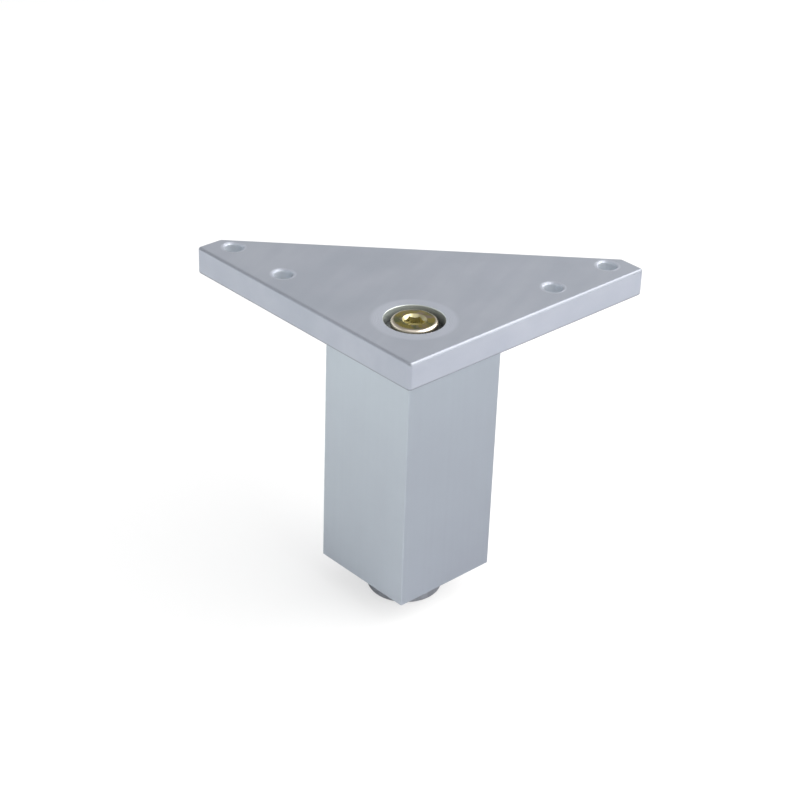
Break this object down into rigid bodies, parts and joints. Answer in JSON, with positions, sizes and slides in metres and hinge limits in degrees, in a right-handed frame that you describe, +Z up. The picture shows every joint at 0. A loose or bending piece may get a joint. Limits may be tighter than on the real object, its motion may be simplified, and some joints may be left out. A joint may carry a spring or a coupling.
{
  "type": "table leg",
  "caption": "Short square metal table leg with a triangular corner mounting plate bolted on its top and a screwed levelling foot at its bottom.",
  "frame": {"origin": "centre of the foot pad's floor face, on the leg's axis, with the foot screwed out by two turns as in the picture", "axes": "+Z up the leg's axis to the mounting face; the plate's right-angle corner is at -X -Y, and its arms run along +X and +Y"},
  "size_m": [0.1075, 0.1075, 0.1025],
  "materials": {
    "cast_aluminium": "satin silver lacquer on cast aluminium",
    "extruded_aluminium": "satin silver lacquer on extruded aluminium",
    "welded_aluminium": "mill finish",
    "yellow_zinc_steel": "yellow zinc plated steel",
    "bright_zinc_steel": "bright zinc plated steel",
    "foot_steel": "turned and zinc plated steel",
    "pad_nylon": "matt moulded nylon"
  },
  "bodies": {
    "leg": {"top_plate": "cast_aluminium", "leg_tube": "extruded_aluminium", "upper_cross_plate": "welded_aluminium", "upper_press_nut": "bright_zinc_steel", "plate_bolt": "yellow_zinc_steel", "spring_washer": "yellow_zinc_steel", "lower_cross_plate": "welded_aluminium", "lower_press_nut": "bright_zinc_steel"},
    "foot_base": {"foot_disc": "foot_steel", "foot_pad": "pad_nylon"},
    "adjusting_spindle": {"foot_spindle": "bright_zinc_steel"}
  },
  "joints": [
    {"name": "foot_travel", "type": "slide", "parent": "leg", "child": "foot_base", "axis": [0, 0, -1], "range_m": [-0.0025, 0.0095]},
    {"name": "spindle_turn", "type": "hinge", "parent": "foot_base", "child": "adjusting_spindle", "pos_m": [0, 0, 0], "axis": [0, 0, -1], "range_deg": [-720, 2736]}
  ],
  "couplings": [
    {"joint": "spindle_turn", "follows": "foot_travel", "rad_per_m": 5026.5}
  ]
}
